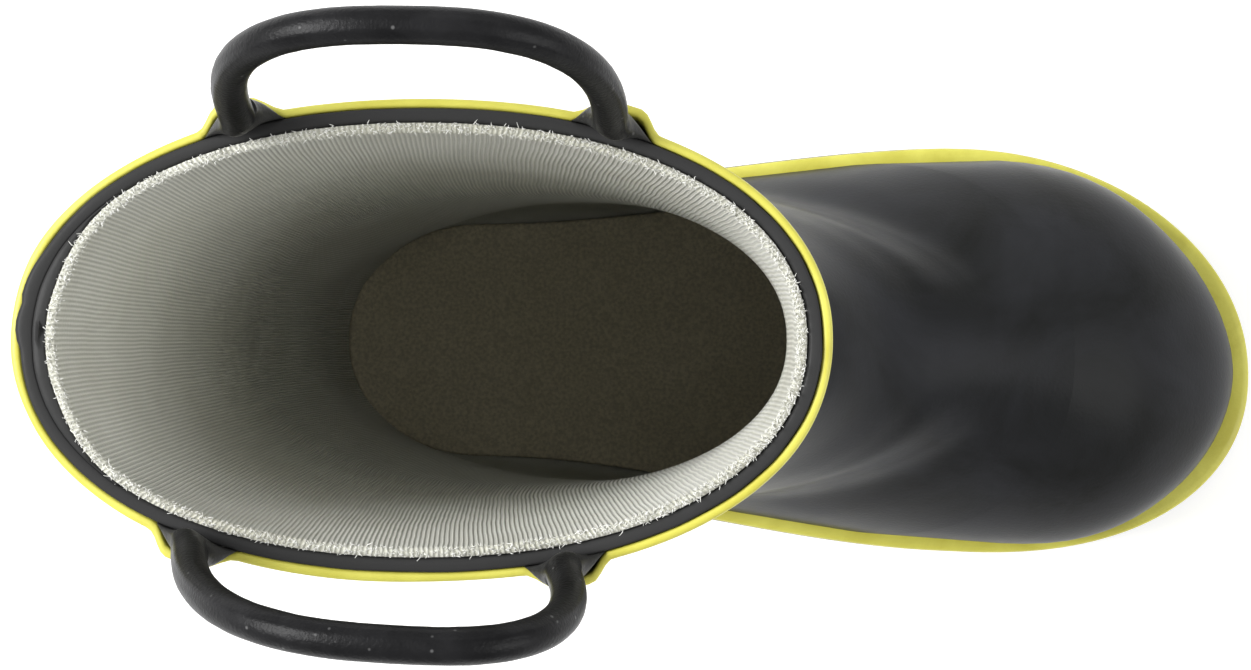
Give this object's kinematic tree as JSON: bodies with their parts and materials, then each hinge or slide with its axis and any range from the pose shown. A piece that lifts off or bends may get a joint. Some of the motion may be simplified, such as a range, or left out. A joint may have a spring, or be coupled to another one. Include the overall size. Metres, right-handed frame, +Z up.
{
  "type": "fire boot",
  "caption": "Child's pull-on fire boot in black rubber with yellow collar band and foxing strip, knit lining, loose insole and pull loops on both sides.",
  "frame": {"origin": "middle of the boot's footprint box, on the ground", "axes": "+X towards the toe, +Y to the outer (little-toe) side, +Z up the leg"},
  "size_m": [0.205, 0.0838, 0.2324],
  "materials": {
    "sole_rubber": "matt black outsole rubber",
    "yellow_rubber": "satin pale yellow rubber",
    "black_rubber": "satin black rubber with soft mottling",
    "loop_rubber": "moulded black rubber with a parting line",
    "knit_lining": "grey-white ribbed knit",
    "fibre_board": "bonded fibre board",
    "filler": "cork and fibre filler",
    "insole_foam": "soft foam",
    "insole_cover": "dark brown-grey cloth"
  },
  "bodies": {
    "boot": {"outsole": "sole_rubber", "foxing_strip": "yellow_rubber", "bottom_filler": "filler", "insole_board": "fibre_board", "vamp": "black_rubber", "leg": "black_rubber", "back_stay": "black_rubber", "heel_stiffener": "fibre_board", "toe_puff": "fibre_board", "foot_lining": "knit_lining", "leg_lining": "knit_lining", "collar_band": "yellow_rubber", "lateral_rear_tab": "loop_rubber", "lateral_front_tab": "loop_rubber", "medial_rear_tab": "loop_rubber", "medial_front_tab": "loop_rubber"},
    "lateral_pull": {"lateral_loop": "loop_rubber"},
    "medial_pull": {"medial_loop": "loop_rubber"},
    "insole": {"insole_foam": "insole_foam", "insole_cover": "insole_cover"}
  },
  "joints": [
    {"name": "lateral_loop_flex", "type": "hinge", "parent": "boot", "child": "lateral_pull", "pos_m": [-0.04628, 0.03079, 0.2007], "axis": [-0.9999, 0.0116, 0], "range_deg": [-35, 50], "stiffness_Nm_per_rad": 0.05},
    {"name": "medial_loop_flex", "type": "hinge", "parent": "boot", "child": "medial_pull", "pos_m": [-0.05263, -0.02746, 0.2007], "axis": [0.9984, -0.0558, 0], "range_deg": [-35, 50], "stiffness_Nm_per_rad": 0.05},
    {"name": "insole_lift", "type": "hinge", "parent": "boot", "child": "insole", "pos_m": [0.0932, -0.0046, 0.0185], "axis": [0, 1, 0], "range_deg": [0, 3]}
  ]
}
